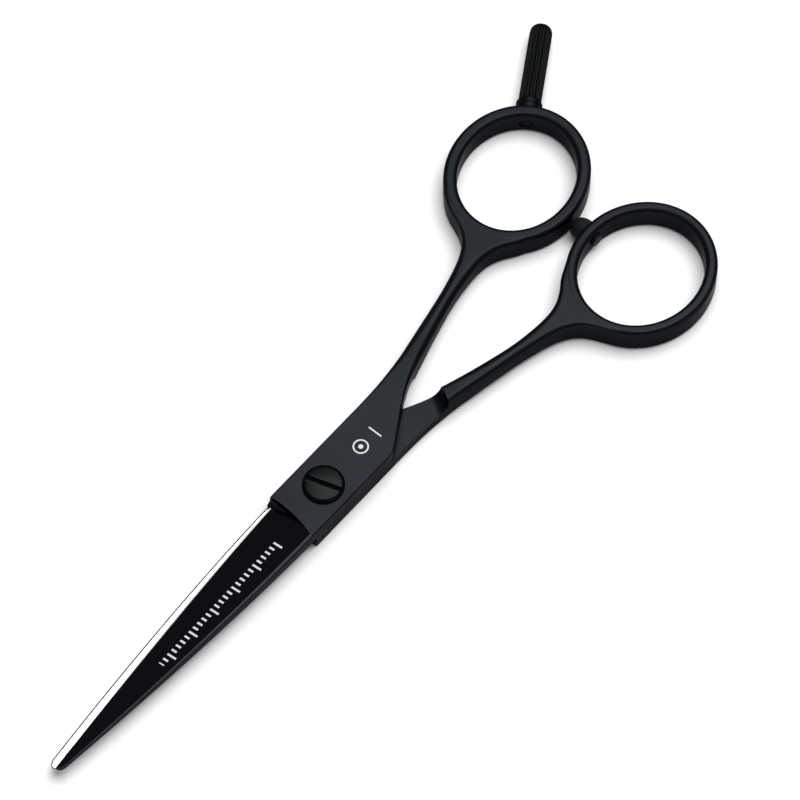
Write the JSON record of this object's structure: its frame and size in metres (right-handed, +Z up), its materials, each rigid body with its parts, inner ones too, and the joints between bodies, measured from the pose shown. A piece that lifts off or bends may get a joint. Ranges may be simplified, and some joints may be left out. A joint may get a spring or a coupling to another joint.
{
  "type": "hair cutting shears",
  "caption": "Black-coated hair cutting shears with oval finger rings, a slotted tension screw, a screwed-in finger rest and a ring bumper; the blades swing open on the pivot.",
  "frame": {"origin": "on the pivot axis, in the plane the closed shears lie on (the flush end of the pivot screw)", "axes": "+X toward the blade tips, +Y toward the thumb ring, +Z up out of the screw head"},
  "size_m": [0.1527, 0.0554, 0.0057],
  "materials": {
    "coated_steel": "black titanium coating over ground steel, satin on block and rings, glossier on the blades",
    "screw_steel": "blackened turned steel",
    "spring_steel": "plain steel",
    "bronze": "plain turned bronze",
    "nylon": "plain nylon",
    "fluted_black": "satin black coating over fine lengthwise flutes",
    "rubber_black": "moulded black rubber"
  },
  "bodies": {
    "finger_side": {"finger_half": "coated_steel", "pivot_bush": "bronze", "head_washer": "nylon", "spring_washer": "spring_steel", "rest_stud": "spring_steel", "rest_sleeve": "fluted_black", "rest_collar": "screw_steel"},
    "thumb_side": {"thumb_half": "coated_steel", "lock_nut": "screw_steel", "ride_washer": "nylon", "bumper": "rubber_black"},
    "tension_screw": {"pivot_screw": "screw_steel"}
  },
  "joints": [
    {"name": "blades_open", "type": "hinge", "parent": "finger_side", "child": "thumb_side", "pos_m": [0, 0, 0.00255], "axis": [0, 0, -1], "range_deg": [0, 90]},
    {"name": "tension_turn", "type": "hinge", "parent": "thumb_side", "child": "tension_screw", "pos_m": [0, 0, 0.003], "axis": [0, 0, -1], "range_deg": [-90, 90]}
  ]
}
